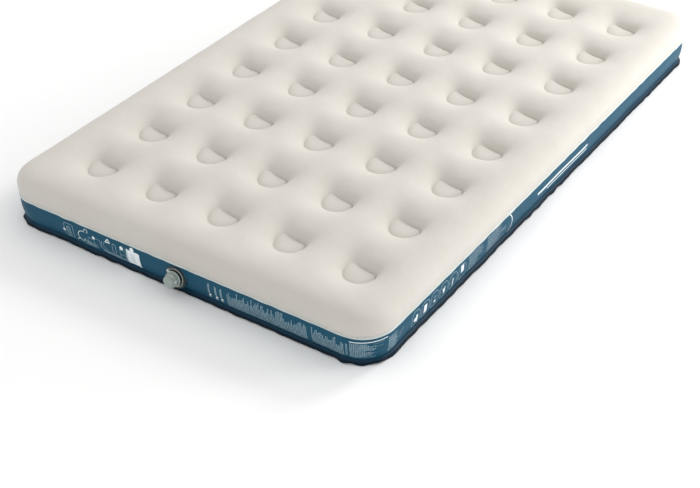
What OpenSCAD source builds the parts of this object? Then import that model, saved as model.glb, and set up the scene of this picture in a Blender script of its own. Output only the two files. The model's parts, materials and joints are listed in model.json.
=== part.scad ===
// Two-person camping air mattress: flocked top sheet, printed side band and dark
// bottom sheet welded into one sealed envelope, held to its quilted shape by forty
// inner ties, with a two-stage screw valve in the middle of the foot end.
// Frame: origin at the centre of the footprint on the floor, +X across the width,
// +Y along the length towards the head end, +Z up. Millimetres.

/* [Envelope] */
// Width measured at the top seam
mattress_w = 1200; // [1200:5:1300]
// Length measured at the top seam
mattress_l = 1900; // [1895:5:2050]
// Plan radius of the four corners at the top seam
corner_r = 90; // [80:1:90]
// Height of the flat crown above the floor
crown_z = 155; // [145:1:170]
// Height of the seam between top sheet and side band
top_seam_z = 86; // [84:1:92]
// Height of the seam between side band and bottom sheet
base_seam_z = 13; // [12:0.5:15]
// How far the bottom seam lies inside the top seam
base_seam_in = 8; // [6:0.5:10]
// How far the side band swells out between its seams
band_swell = 6; // [5:0.5:8]
// How far the roll of the top sheet swells past the top seam
roll_out = 5; // [3:0.5:6]
// Height at which that roll is widest
roll_z = 116; // [112:1:120]
// Thickness of the PVC skin
skin = 0.5; // [0.4:0.1:0.8]

/* [Seams] */
// Width of the welded lip along the top seam
lip_w = 5; // [3:0.5:6]
// Outward run of the welded flange along the bottom seam
flange_run = 9; // [7:0.5:10]
// Drop of that flange towards the floor
flange_drop = 9; // [7:0.5:10]

/* [Dimples] */
// Dimples across the width
columns = 5; // [5:1:5]
// Dimples along the length
rows = 8; // [8:1:8]
// Spacing across the width
pitch_x = 211; // [205:0.5:211]
// Spacing along the length
pitch_y = 217; // [210:0.5:217]
// Shift of the whole grid towards the head end
grid_shift = 4; // [0:1:10]
// Radius of the welded pad at the bottom of a dimple
pad_r = 50; // [46:0.5:52]
// Radius of a dimple where it leaves the crown
dimple_r = 84; // [80:0.5:86]
// Depth of the dimples in the top sheet
top_depth = 36; // [28:1:40]
// Depth of the dimples in the bottom sheet
base_depth = 24; // [18:1:30]
// How far the straight edge of a tie lies from its pad's centre
tie_edge = 19; // [12:0.5:24]

/* [Valve] */
// Height of the valve's centre above the floor
valve_z = 48; // [46:0.5:50]
// How far the valve looks up
valve_tilt = 6; // [0:1:8]
// Gap between the band's widest line and the back of the valve base
valve_stand = 3; // [2.5:0.5:4]
// Radius of the round base plate
base_plate_r = 31; // [29:0.5:31.5]
// Bore of the base, through which the mattress empties
base_bore_r = 12.6; // [12.6:0.1:12.8]
// Bore of the nozzle, into which a pump fits
nozzle_bore_r = 9.5; // [8.5:0.1:9.5]
// Number of grip ribs round the insert
insert_ribs = 24; // [16:2:30]
// Number of grip ribs round the cap
cap_ribs = 20; // [14:2:26]

/* [Hidden] */
$fn = 64;

// Half sizes of the rectangle through the four corner centres
core_x = mattress_w / 2 - corner_r;
core_y = mattress_l / 2 - corner_r;

// Arcs of the top sheet's roll, in profile: x is outwards from the top seam
roll_up_r = crown_z - roll_z;
roll_rise = roll_z - top_seam_z;
roll_low_r = (roll_rise * roll_rise + roll_out * roll_out) / (2 * roll_out);

// Arc of the side band, through both seams
band_rise = top_seam_z - base_seam_z;
band_chord = sqrt(band_rise * band_rise + base_seam_in * base_seam_in);
band_r = band_chord * band_chord / (8 * band_swell) + band_swell / 2;
band_nx = band_rise / band_chord;
band_nz = -base_seam_in / band_chord;
band_cx = -base_seam_in / 2 - (band_r - band_swell) * band_nx;
band_cz = (top_seam_z + base_seam_z) / 2 - (band_r - band_swell) * band_nz;
band_out = band_cx + band_r;

// Levels of the welded pads
top_pad_z = crown_z - top_depth;
base_pad_z = base_depth;
// The inner ties: a D-shaped tab at each end of an upright strip
tab_r = pad_r - 2;
tie_half_w = sqrt(tab_r * tab_r - tie_edge * tie_edge);

// Stations along the valve's axis, outwards from the back of its base plate
plate_h = 2.6;
neck_back = -12;
neck_front = 16;
neck_wall = 3;
neck_r = base_bore_r + neck_wall;
tether_lo = 4;
tether_h = 3;
skirt_lo = 8;
knurl_lo = 12.5;
insert_top = 21;
insert_plate_lo = 17.2;
insert_r = 20.5;
skirt_r = 18;
sleeve_r = 12;
sleeve_bore_r = 10.4;
sleeve_lo = 2.4;
nozzle_top = 30;
cap_lo = 23.4;
cap_knurl_lo = 26.8;
cap_plate_lo = 31.5;
cap_top = 34;
cap_r = 16.5;
cap_skirt_r = 14.6;
// Radial clearances: screw threads are plain with this gap, trunnions run closer
thread_gap = 0.5;
ring_gap = 0.35;
pin_gap = 0.08;
// The check flap's trunnion
flap_pin_r = 0.9;
flap_pin_y = 8.6;
flap_pin_w = 1.4;
flap_lo = 0.9;
// Faces of the seat on the air side and on the nozzle side
seat_lo = 2.6;
seat_hi = 4;

// ---------------------------------------------------------------- profiles

// Region inside the top sheet, a skin thickness t further in
module roll_region(t) {
    translate([roll_out - roll_up_r, roll_z]) intersection() {
        circle(roll_up_r - t);
        square(roll_up_r);
    }
    translate([-corner_r, roll_z]) square([corner_r + roll_out - roll_up_r, roll_up_r - t]);
    intersection() {
        translate([roll_out - roll_low_r, roll_z]) circle(roll_low_r - t, $fn = 180);
        translate([-corner_r, top_seam_z]) square([corner_r + roll_out, roll_rise]);
    }
}

// Top sheet from the seam up over the roll, with its half of the welded lip
module top_profile() {
    difference() {
        roll_region(0);
        roll_region(skin);
    }
    translate([-skin, top_seam_z]) square([lip_w + skin, skin]);
}

// Side band with its halves of the lip and of the flange
module band_profile() {
    intersection() {
        difference() {
            translate([band_cx, band_cz]) circle(band_r, $fn = 180);
            translate([band_cx, band_cz]) circle(band_r - skin, $fn = 180);
        }
        translate([-base_seam_in - 2, base_seam_z]) square([base_seam_in + band_swell, band_rise]);
    }
    translate([-skin, top_seam_z - skin]) square([lip_w + skin, skin]);
    polygon([
        [-base_seam_in - skin, base_seam_z],
        [flange_run - base_seam_in, base_seam_z - flange_drop],
        [flange_run - base_seam_in + skin, base_seam_z - flange_drop + skin],
        [-base_seam_in, base_seam_z + 2 * skin],
        [-base_seam_in - skin, base_seam_z + 2 * skin]
    ]);
}

// Bottom sheet: its half of the flange, the turn under and the edge of the floor panel
module base_profile() {
    polygon([
        [-base_seam_in - skin, base_seam_z],
        [flange_run - base_seam_in, base_seam_z - flange_drop],
        [flange_run - base_seam_in - skin, base_seam_z - flange_drop - skin],
        [-base_seam_in - skin, base_seam_z - 2 * skin]
    ]);
    translate([-base_seam_in - base_seam_z, base_seam_z]) intersection() {
        difference() {
            circle(base_seam_z);
            circle(base_seam_z - skin);
        }
        translate([0, -base_seam_z]) square([base_seam_z, base_seam_z - 1.5 * skin]);
    }
    translate([-corner_r, 0]) square([corner_r - base_seam_in - base_seam_z, skin]);
}

// Wall of one dimple, from its pad out to the panel; the panel lies at the full depth
function dimple_line(depth) = [
    [pad_r, 0],
    [pad_r + 7, 0.42 * depth],
    [pad_r + 19, 0.82 * depth],
    [dimple_r, depth]
];

module dimple_shell(depth) {
    line = dimple_line(depth);
    under = [for (i = [2:-1:0]) line[i] + [0.7 * skin, -skin]];
    rotate_extrude() polygon(concat([[0, 0]], line, [[dimple_r, depth - skin]], under, [[0, -skin]]));
}

// ---------------------------------------------------------------- helpers

// Carries a profile round the plan of the mattress; its x = 0 line follows the top seam
module around() {
    for (i = [0:3]) {
        side_x = (i == 0 || i == 3) ? core_x : -core_x;
        side_y = (i < 2) ? core_y : -core_y;
        run = (i % 2 == 0) ? core_y : core_x;
        translate([side_x, side_y, 0]) rotate(90 * i) {
            rotate_extrude(angle = 90) translate([corner_r, 0]) children();
            rotate([90, 0, 0]) linear_extrude(2 * run) translate([corner_r, 0]) children();
        }
    }
}

// Flat panel between the corner centres, open where the dimples go
module panel() {
    linear_extrude(skin) difference() {
        square([2 * core_x, 2 * core_y], center = true);
        for (r = [1:rows], c = [1:columns]) translate(dimple_at(r, c)) circle(dimple_r);
    }
}

function dimple_at(row, column) = [
    (column - (columns + 1) / 2) * pitch_x,
    (row - (rows + 1) / 2) * pitch_y + grid_shift
];

// Puts its children on the valve's axis, looking out of the foot end
module at_valve() {
    translate([0, -mattress_l / 2 - band_out - valve_stand, valve_z]) rotate([90 - valve_tilt, 0, 0]) children();
}

module ring(inner_r, outer_r, from, to) {
    translate([0, 0, from]) difference() {
        cylinder(r = outer_r, h = to - from);
        translate([0, 0, -1]) cylinder(r = inner_r, h = to - from + 2);
    }
}

// Ring with grip ribs cut round its outside
module ribbed_ring(outer_r, from, to, ribs, groove_r) {
    translate([0, 0, from]) difference() {
        cylinder(r = outer_r, h = to - from);
        for (i = [1:ribs]) rotate(360 * i / ribs) translate([outer_r + 0.4 * groove_r, 0, -1])
            cylinder(r = groove_r, h = to - from + 2, $fn = 24);
    }
}

// Flat strap that leaves one ring, turns back on itself and reaches the next one
module strap_loop(from_r, turn_r, from, to, width, thick) {
    bend_r = (to - from) / 2;
    translate([from_r, -width / 2, from - thick / 2]) cube([turn_r - from_r, width, thick]);
    translate([from_r + 1, -width / 2, to - thick / 2]) cube([turn_r - from_r - 1, width, thick]);
    translate([turn_r, width / 2, from + bend_r]) rotate([90, 0, 0]) linear_extrude(width) difference() {
        circle(bend_r + thick / 2);
        circle(bend_r - thick / 2);
        translate([-2 * bend_r, -2 * bend_r]) square([2 * bend_r, 4 * bend_r]);
    }
}

// ---------------------------------------------------------------- envelope

module top_sheet() {
    color("#dedacf") {
        around() top_profile();
        translate([0, 0, crown_z - skin]) panel();
        for (r = [1:rows], c = [1:columns])
            translate([dimple_at(r, c)[0], dimple_at(r, c)[1], top_pad_z]) dimple_shell(top_depth);
    }
}

module side_band() {
    color("#24566f") difference() {
        around() band_profile();
        at_valve() translate([0, 0, -20]) cylinder(r = neck_r + 0.1, h = 30);
    }
}

module bottom_sheet() {
    color("#10242f") {
        around() base_profile();
        panel();
        for (r = [1:rows], c = [1:columns])
            translate([dimple_at(r, c)[0], dimple_at(r, c)[1], base_pad_z]) mirror([0, 0, 1]) dimple_shell(base_depth);
    }
}

// One inner tie: both tabs face the foot end, and the strip joins their straight edges
module tie() {
    low = base_pad_z + skin;
    high = top_pad_z - skin;
    translate([-tie_half_w, tie_edge - skin, low]) cube([2 * tie_half_w, skin, high - low]);
    for (z = [low, high - skin]) translate([0, 0, z]) intersection() {
        cylinder(r = tab_r, h = skin);
        translate([-tab_r, -tab_r, 0]) cube([2 * tab_r, tab_r + tie_edge, skin]);
    }
}

module tie_row(row) {
    color("#c9cdc9") for (c = [1:columns])
        translate([dimple_at(row, c)[0], dimple_at(row, c)[1], 0]) tie();
}

// ---------------------------------------------------------------- valve, fixed parts

// Soft collar welded to the band, shaped to the swell behind the base plate
module valve_patch() {
    color("#1b3a48") difference() {
        at_valve() translate([0, 0, -16]) cylinder(r = base_plate_r + 1, h = 16);
        translate([-100, -mattress_l / 2 - band_cx, band_cz]) rotate([0, 90, 0])
            cylinder(r = band_r, h = 200, $fn = 180);
        at_valve() translate([0, 0, -20]) cylinder(r = neck_r + 0.1, h = 30);
    }
}

// Base plate with a raised rim, and the neck that the insert screws onto
module valve_base() {
    rim_w = 2.4;
    rim_h = 1.4;
    color("#4b5554") at_valve() {
        ring(base_bore_r, base_plate_r, 0, plate_h);
        ring(base_plate_r - rim_w, base_plate_r, plate_h, plate_h + rim_h);
        ring(base_bore_r, neck_r, neck_back, 0);
        ring(base_bore_r, neck_r, plate_h, neck_front);
    }
}

// Tether of the insert: its ring round the neck and its strap
module insert_tether() {
    color("#aeb8b2") at_valve() {
        ring(neck_r + 0.1, 23, tether_lo, tether_lo + tether_h);
        rotate(135) strap_loop(22, 27, tether_lo + tether_h / 2, 10.4, 8, 1.6);
    }
}

// ---------------------------------------------------------------- insert

// Ring of the same tether that turns freely on the insert's skirt
module insert_tether_ring() {
    color("#aeb8b2") at_valve() ring(skirt_r + ring_gap, 22, 9.2, 11.6);
}

// Screw-on insert: skirt over the neck, sleeve inside it, nozzle for the pump
module valve_insert() {
    lip_r = 19;
    lip_top = 8.8;
    skirt_bore_r = neck_r + thread_gap;
    color("#9fa9a4") at_valve() {
        difference() {
            union() {
                ring(sleeve_bore_r, skirt_r, skirt_lo, insert_top);
                ring(skirt_r - 1, lip_r, skirt_lo, lip_top);
                ribbed_ring(insert_r, knurl_lo, insert_top, insert_ribs, 1.1);
            }
            translate([0, 0, skirt_lo - 1]) difference() {
                cylinder(r = skirt_bore_r, h = insert_plate_lo - skirt_lo + 1);
                translate([0, 0, -1]) cylinder(r = sleeve_r, h = insert_plate_lo - skirt_lo + 3);
            }
            translate([0, 0, knurl_lo - 1]) cylinder(r = sleeve_bore_r, h = insert_plate_lo - knurl_lo + 1);
            translate([0, 0, insert_plate_lo - 1]) cylinder(r = nozzle_bore_r, h = 10);
        }
        ring(sleeve_bore_r, sleeve_r, sleeve_lo, skirt_lo);
        ring(nozzle_bore_r, sleeve_r, insert_top, nozzle_top);
    }
}

// Flat seal between the insert and the rim of the neck
module insert_gasket() {
    color("#3a3f3e") at_valve() ring(base_bore_r + 0.2, neck_r - 0.1, neck_front + 0.1, insert_plate_lo);
}

// Spider at the inner end of the sleeve, with two lugs that carry the flap
module flap_seat() {
    lug_w = 1.6;
    lug_x = 2.6;
    lug_half = 1.6;
    lug_lo = flap_pin_w - lug_half;
    bar_w = 1.6;
    hub_r = 2.4;
    color("#858f8b") at_valve() difference() {
        union() {
            ring(8.6, sleeve_bore_r, seat_lo, seat_hi);
            translate([0, 0, seat_lo]) cylinder(r = hub_r, h = seat_hi - seat_lo);
            for (a = [0, 90]) rotate(a) translate([-9, -bar_w / 2, seat_lo])
                cube([18, bar_w, seat_hi - seat_lo]);
            for (s = [-1, 1]) translate([s * lug_x - lug_w / 2, flap_pin_y - lug_half, lug_lo])
                cube([lug_w, 2 * lug_half, seat_lo - lug_lo + 0.2]);
        }
        translate([-5, flap_pin_y, flap_pin_w]) rotate([0, 90, 0])
            cylinder(r = flap_pin_r + pin_gap, h = 10);
    }
}

// Soft disc that closes the sleeve from inside and swings in when air is pumped
module check_flap() {
    disc_r = 9.6;
    disc_h = seat_lo - ring_gap - flap_lo;
    tab_w = 2.8;
    tab_top = flap_pin_y - 2.7;
    color("#2e3433") at_valve() {
        translate([0, 0, flap_lo]) intersection() {
            cylinder(r = disc_r, h = disc_h);
            translate([-disc_r, -disc_r, 0]) cube([2 * disc_r, disc_r + tab_top, disc_h]);
        }
        translate([-tab_w / 2, tab_top - 1, flap_lo]) cube([tab_w, flap_pin_y - tab_top + 1, 1]);
        translate([-4, flap_pin_y, flap_pin_w]) rotate([0, 90, 0]) cylinder(r = flap_pin_r, h = 8);
    }
}

// ---------------------------------------------------------------- cap

// Tether of the cap: its ring round the nozzle and its strap
module cap_tether() {
    color("#aeb8b2") at_valve() {
        ring(sleeve_r, 17, insert_top, 22.6);
        rotate(15) strap_loop(16, 20.5, 21.8, 25.4, 6, 1.2);
    }
}

// Ring of the same tether that turns freely on the cap's skirt
module cap_tether_ring() {
    color("#aeb8b2") at_valve() ring(cap_skirt_r + ring_gap, 16.7, 24.4, 26.4);
}

// Screw cap over the nozzle
module valve_cap() {
    lip_r = 15.3;
    color("#a9b3ad") at_valve() difference() {
        union() {
            translate([0, 0, cap_lo]) cylinder(r = cap_skirt_r, h = cap_top - cap_lo - 1);
            translate([0, 0, cap_lo]) cylinder(r = lip_r, h = 0.6);
            ribbed_ring(cap_r, cap_knurl_lo, cap_top - 1, cap_ribs, 0.9);
            translate([0, 0, cap_top - 1]) cylinder(r1 = cap_r - 0.8, r2 = cap_r - 2, h = 1);
        }
        translate([0, 0, cap_lo - 1]) cylinder(r = sleeve_r + thread_gap, h = cap_plate_lo - cap_lo + 1);
    }
}

// Sealing disc inside the cap
module cap_gasket() {
    color("#3a3f3e") at_valve() translate([0, 0, nozzle_top + 0.1])
        cylinder(r = sleeve_r + thread_gap, h = cap_plate_lo - nozzle_top - 0.1);
}

top_sheet();
side_band();
bottom_sheet();
for (r = [1:rows]) {
    tie_row(r);
}
valve_patch();
valve_base();
insert_tether();
insert_tether_ring();
valve_insert();
insert_gasket();
flap_seat();
check_flap();
cap_tether();
cap_tether_ring();
valve_cap();
cap_gasket();
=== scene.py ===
"""Looks of a two-person camping air mattress, built round its CAD frame.

Metres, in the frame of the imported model: +X across the width, +Y along the length to the
head end, +Z up, the floor at z = 0. The valve sits in the middle of the foot end.
"""

import json
import math

import bpy
import numpy as np
from mathutils import Matrix, Vector


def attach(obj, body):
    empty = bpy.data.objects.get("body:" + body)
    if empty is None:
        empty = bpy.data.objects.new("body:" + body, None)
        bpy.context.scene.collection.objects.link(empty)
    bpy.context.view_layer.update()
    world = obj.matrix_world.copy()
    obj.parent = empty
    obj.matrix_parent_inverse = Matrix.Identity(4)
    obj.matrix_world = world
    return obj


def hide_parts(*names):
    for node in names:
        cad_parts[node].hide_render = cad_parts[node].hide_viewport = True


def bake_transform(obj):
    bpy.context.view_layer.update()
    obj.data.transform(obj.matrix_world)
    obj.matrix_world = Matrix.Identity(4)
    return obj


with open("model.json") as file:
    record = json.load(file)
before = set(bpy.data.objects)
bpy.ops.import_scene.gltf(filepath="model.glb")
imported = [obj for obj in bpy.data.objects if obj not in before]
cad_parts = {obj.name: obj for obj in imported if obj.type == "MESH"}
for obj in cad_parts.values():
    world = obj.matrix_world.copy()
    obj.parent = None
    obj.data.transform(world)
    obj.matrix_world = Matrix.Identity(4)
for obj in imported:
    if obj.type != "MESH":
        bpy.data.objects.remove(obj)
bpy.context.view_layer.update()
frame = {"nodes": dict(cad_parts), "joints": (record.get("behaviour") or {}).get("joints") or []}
MM = 0.001

# ---------------------------------------------------------------- measures

HALF_X, HALF_Y = 0.600, 0.950  # to the top seam
CORNER_R = 0.090
CORE_X, CORE_Y = HALF_X - CORNER_R, HALF_Y - CORNER_R
CROWN_Z = 0.155
SEAM_Z = 0.086
SKIN = 0.0005
ROLL_IN, ROLL_OUT, ROLL_Z = 0.065, 0.005, 0.116
BAND_R, BAND_C = 0.11535, (-0.11270, 0.0614)  # arc of the band, outwards and up
BASE_D, BASE_Z = -0.008, 0.013  # bottom seam, outwards from the top seam and up

COLUMNS, ROWS = 5, 8
PITCH_X, PITCH_Y, GRID_Y = 0.211, 0.217, 0.010
PAD_R = 0.043  # circle of a welded pad, about the middle of its dimple
CREASE_V = 0.022  # straight edge that cuts the circle
PAD_MID = -0.009  # point inside the pad that its mesh fans out from
PAD_ROUND = 0.009  # rounding of the two corners at the ends of the crease
PAD_SHIFT = np.array([0.011, -0.012])  # from the middle of a cell to its pad
FRONT_CORNER_SHIFT = np.array([0.009, -0.007])  # further still at the front right corner
PAD_TURN = -6.5  # degrees that a crease is turned from the cross direction
CORE_R, CORE_V = PAD_R - PAD_ROUND, CREASE_V - PAD_ROUND
CORE_HALF = math.sqrt(CORE_R**2 - CORE_V**2)
TOP_DEPTH, TOP_REACH = 0.0355, 0.094  # depth of a dimple and how far its wall runs out
FLOOR_DEPTH, FLOOR_REACH = 0.0218, 0.085
CROWN_EXTRA = 0.001  # swell of the top between its dimples, over the CAD crown
FLOOR_GAP = 0.0006  # underside above the floor

FLANGE_RUN, FLANGE_DROP = 0.010, 0.0094
BAND_ON_FLANGE = (0.14, 0.28, 0.42, 0.54)  # rows of the band out over the flange

VALVE_HOLE = 0.0165  # radius cleared in the band behind the valve's base plate

HALF_FOOT = CORE_X + CORNER_R * math.pi / 4  # half a side, to the middle of its corner
HALF_LONG = CORE_Y + CORNER_R * math.pi / 4
ROUND = 4 * (HALF_FOOT + HALF_LONG)

# ---------------------------------------------------------------- helpers


def linear(code):
    """sRGB hex to linear RGBA."""
    parts = [int(code[i : i + 2], 16) / 255 for i in (1, 3, 5)]
    flat = [c / 12.92 if c <= 0.04045 else ((c + 0.055) / 1.055) ** 2.4 for c in parts]
    return (*flat, 1.0)


def set_values(node, **values):
    """Sets a node's attributes, or else its inputs, by name."""
    for key, value in values.items():
        if hasattr(node, key):
            setattr(node, key, value)
        else:
            node.inputs[key.replace("_", " ")].default_value = value


def add_node(tree, kind, links=None, **values):
    """Adds a node, sets its values and links inputs by name or index."""
    node = tree.nodes.new(kind)
    set_values(node, **values)
    for key, socket in (links or {}).items():
        tree.links.new(socket, node.inputs[key])
    return node


def smooth(x):
    x = np.clip(x, 0, 1)
    return x * x * (3 - 2 * x)


def wave_round(s, short, long, seed, count=11):
    """Smooth periodic unevenness along the seam, about -1 to 1."""
    rng = np.random.default_rng(seed)
    numbers = rng.integers(int(ROUND / long), int(ROUND / short) + 1, count)
    phases = rng.uniform(0, 2 * np.pi, count)
    out = sum(np.sin(2 * np.pi * n * s / ROUND + p) for n, p in zip(numbers, phases))
    return out / math.sqrt(count)


def wave_flat(x, y, short, long, seed, count=18):
    """Smooth unevenness over a panel, about -1 to 1."""
    rng = np.random.default_rng(seed)
    lengths = np.exp(rng.uniform(math.log(short), math.log(long), count))
    angles = rng.uniform(0, np.pi, count)
    phases = rng.uniform(0, 2 * np.pi, count)
    out = 0
    for size, a, p in zip(lengths, angles, phases):
        out = out + np.sin(2 * np.pi * (x * math.cos(a) + y * math.sin(a)) / size + p)
    return out / math.sqrt(count)


def seam_at(s):
    """Plan point, outward direction and share of corner at arc length s along the top seam.
    s = 0 is the middle of the foot end, and s grows towards +X."""
    s = (np.asarray(s, float) + HALF_FOOT) % ROUND - HALF_FOOT
    halves = np.array([HALF_FOOT, HALF_LONG, HALF_FOOT, HALF_LONG])
    starts = -HALF_FOOT + np.concatenate([[0], 2 * np.cumsum(halves[:3])])
    side = np.searchsorted(starts, s, side="right") - 1
    mids = starts + halves
    turn = np.array([3, 0, 1, 2])[side] * (np.pi / 2)
    long_side = side % 2 == 1
    half = np.where(long_side, HALF_X, HALF_Y)
    run = np.where(long_side, CORE_Y, CORE_X)
    local = s - mids[side]
    angle = np.clip(np.abs(local) - run, 0, None) / CORNER_R
    sign = np.sign(local)
    px = half - CORNER_R + CORNER_R * np.cos(angle)
    py = sign * (np.minimum(np.abs(local), run) + CORNER_R * np.sin(angle))
    nx, ny = np.cos(angle), sign * np.sin(angle)
    c, d = np.cos(turn), np.sin(turn)
    point = np.stack([px * c - py * d, px * d + py * c], -1)
    out = np.stack([nx * c - ny * d, nx * d + ny * c], -1)
    corner = smooth((np.abs(local) - run + 0.05) / 0.1)
    return point, out, corner


def vertex_normals(co, faces):
    """Area-weighted vertex normals of a mesh given as a list of faces."""
    out = np.zeros_like(co)
    for size in {len(f) for f in faces}:
        f = np.array([x for x in faces if len(x) == size])
        n = np.cross(co[f[:, 1]] - co[f[:, 0]], co[f[:, -1]] - co[f[:, 0]])
        for k in range(size):
            np.add.at(out, f[:, k], n)
    return out / np.maximum(np.linalg.norm(out, axis=1), 1e-12)[:, None]


def shelled(co, faces, thick):
    """Closes an open skin: an inner copy one thickness below it, joined along the free edges."""
    co = np.asarray(co, float)
    inner = co - thick * vertex_normals(co, faces)
    count = len(co)
    edges = dict.fromkeys((a, b) for f in faces for a, b in zip(f, (*f[1:], f[0])))
    rim = [(a, b) for a, b in edges if (b, a) not in edges]
    back = [tuple(i + count for i in reversed(f)) for f in faces]
    walls = [(b, a, a + count, b + count) for a, b in rim]
    return np.vstack([co, inner]), [*faces, *back, *walls]


def add_object(name, data):
    thing = bpy.data.objects.new(name, data)
    bpy.context.scene.collection.objects.link(thing)
    return thing


def make_piece(name, co, faces, material, flat=False):
    mesh = bpy.data.meshes.new(name)
    mesh.from_pydata([tuple(map(float, p)) for p in co], [], [tuple(map(int, f)) for f in faces])
    mesh.polygons.foreach_set("use_smooth", [not flat] * len(mesh.polygons))
    mesh.materials.append(material)
    mesh.update()
    return add_object(name, mesh)


def grid_faces(rings, around):
    """Quads between rings of points that lie one after another, first ring innermost."""
    out = []
    for r in range(rings - 1):
        for i in range(around):
            j = (i + 1) % around
            out.append((r * around + i, (r + 1) * around + i, (r + 1) * around + j, r * around + j))
    return out


# ---------------------------------------------------------------- valve axis

insert_joint = next(j for j in frame["joints"] if j["name"] == "insert_turn")
AXIS = Vector(insert_joint["axis"]).normalized()
VALVE_TURN = Matrix(((1, 0, 0), (0, AXIS.z, AXIS.y), (0, -AXIS.y, AXIS.z)))
VALVE = Matrix.Translation(Vector(insert_joint["pos_m"])) @ VALVE_TURN.to_4x4()


# ---------------------------------------------------------------- materials


def new_material(name):
    material = bpy.data.materials.new(name)
    material.use_nodes = True
    tree = material.node_tree
    shader = tree.nodes["Principled BSDF"]
    place = add_node(tree, "ShaderNodeTexCoord").outputs["Object"]
    return material, tree, shader, place


def bump_on(tree, shader, place, scale, height, detail=2.0, under=None):
    """Fine relief: noise of the given scale per metre, height in metres."""
    noise = add_node(tree, "ShaderNodeTexNoise", {"Vector": place}, Scale=scale, Detail=detail)
    links = {"Height": noise.outputs["Fac"]}
    if under is not None:
        links["Normal"] = under
    relief = add_node(tree, "ShaderNodeBump", links, Distance=height, Strength=1.0)
    tree.links.new(relief.outputs["Normal"], shader.inputs["Normal"])
    return relief.outputs["Normal"]


def mottled(tree, place, low, high, scale):
    """Colour that drifts between two tones over patches of 1 / scale metres."""
    noise = add_node(tree, "ShaderNodeTexNoise", {"Vector": place}, Scale=scale, Detail=2.0)
    mix = add_node(tree, "ShaderNodeMix", {0: noise.outputs["Fac"]}, data_type="RGBA")
    mix.inputs[6].default_value = linear(low)
    mix.inputs[7].default_value = linear(high)
    return mix.outputs[2]


def flocked_pvc():
    """Short flock on PVC: very rough, with a sheen, faint cloudiness and 1 mm nap."""
    material, tree, shader, place = new_material("flocked_pvc")
    tree.links.new(mottled(tree, place, "#c5c0b7", "#cac6bf", 9.0), shader.inputs["Base Color"])
    set_values(shader, Roughness=0.92, Specular_IOR_Level=0.2)
    set_values(shader, Sheen_Weight=0.25, Sheen_Roughness=0.6)
    folds = bump_on(tree, shader, place, 28.0, 0.0012)
    bump_on(tree, shader, place, 900.0, 0.00025, 3.0, folds)
    return material


def printed_pvc():
    """Calendered PVC with a blue gravure print: satin, a fine emboss, and painted shade that darkens it
    low down, towards the bottom seam.
    """
    material, tree, shader, place = new_material("printed_band_pvc")
    tone = mottled(tree, place, "#11485e", "#155069", 7.0)
    # Painted shade: from about 22 mm up down to 6 mm, the blue fades to near-black navy (#06263a),
    # standing in for the shade on the lower, down-facing part of the band by the seam.
    height = add_node(tree, "ShaderNodeSeparateXYZ", {0: place}).outputs["Z"]
    painted_shade_ramp = add_node(tree, "ShaderNodeMapRange", {"Value": height}, interpolation_type="SMOOTHSTEP")
    set_values(painted_shade_ramp, From_Min=0.006, From_Max=0.022)
    mix = add_node(tree, "ShaderNodeMix", {0: painted_shade_ramp.outputs["Result"], 7: tone}, data_type="RGBA")
    mix.inputs[6].default_value = linear("#06263a")
    tree.links.new(mix.outputs[2], shader.inputs["Base Color"])
    set_values(shader, Roughness=0.46, Specular_IOR_Level=0.16)
    dents = bump_on(tree, shader, place, 45.0, 0.0008)
    bump_on(tree, shader, place, 1400.0, 0.00008, 2.0, dents)
    return material


def plain_plastic(name, tones, roughness, relief, scale=600.0, coat=0.0, shine=0.5):
    """Moulded or calendered plastic: two close tones, one roughness, a fine relief."""
    material, tree, shader, place = new_material(name)
    tree.links.new(mottled(tree, place, *tones, 40.0), shader.inputs["Base Color"])
    set_values(shader, Roughness=roughness, Specular_IOR_Level=shine)
    set_values(shader, Coat_Weight=coat, Coat_Roughness=0.08)
    bump_on(tree, shader, place, scale, relief)
    return material


MATERIALS = {
    "flock": flocked_pvc(),
    "band": printed_pvc(),
    # Thick PVC of the underside and its welded flange, embossed
    "dark": plain_plastic("dark_base_pvc", ("#051824", "#071d2b"), 0.6, 0.0002, shine=0.12),
    # Squeezed-out edge of the weld, where the flocked skin shows its pale PVC
    "weld": plain_plastic("weld_lip_pvc", ("#c0c8c6", "#cad1cf"), 0.6, 0.0002, shine=0.3),
    # White and pale inks of the print on the band
    "white_ink": plain_plastic("white_ink", ("#dfe9ec", "#e8f0f2"), 0.5, 0.00003),
    "pale_ink": plain_plastic("pale_ink", ("#86a3af", "#91acb8"), 0.5, 0.00003),
    "grey_ink": plain_plastic("grey_ink", ("#6b8493", "#758e9c"), 0.5, 0.00003),
    # Unprinted PVC of the inner ties and of the collar under the valve
    "tie": plain_plastic("tie_pvc", ("#c4c8c3", "#cdd1cc"), 0.6, 0.0002),
    "collar": plain_plastic("valve_collar_pvc", ("#12303d", "#173846"), 0.38, 0.0001),
    # Injection-moulded valve parts: dark base, pale grey-green insert and cap
    "valve_dark": plain_plastic("valve_base_plastic", ("#1b2523", "#232e2b"), 0.16, 0.00005, coat=0.6),
    "valve_light": plain_plastic("valve_grey_plastic", ("#8f9c96", "#99a6a0"), 0.34, 0.00005),
    "tether": plain_plastic("tether_soft_pvc", ("#b4bfba", "#bec8c3"), 0.42, 0.00005),
    "rubber": plain_plastic("seal_rubber", ("#2b302f", "#333938"), 0.7, 0.0001),
}

# ---------------------------------------------------------------- dimpled panels


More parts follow.
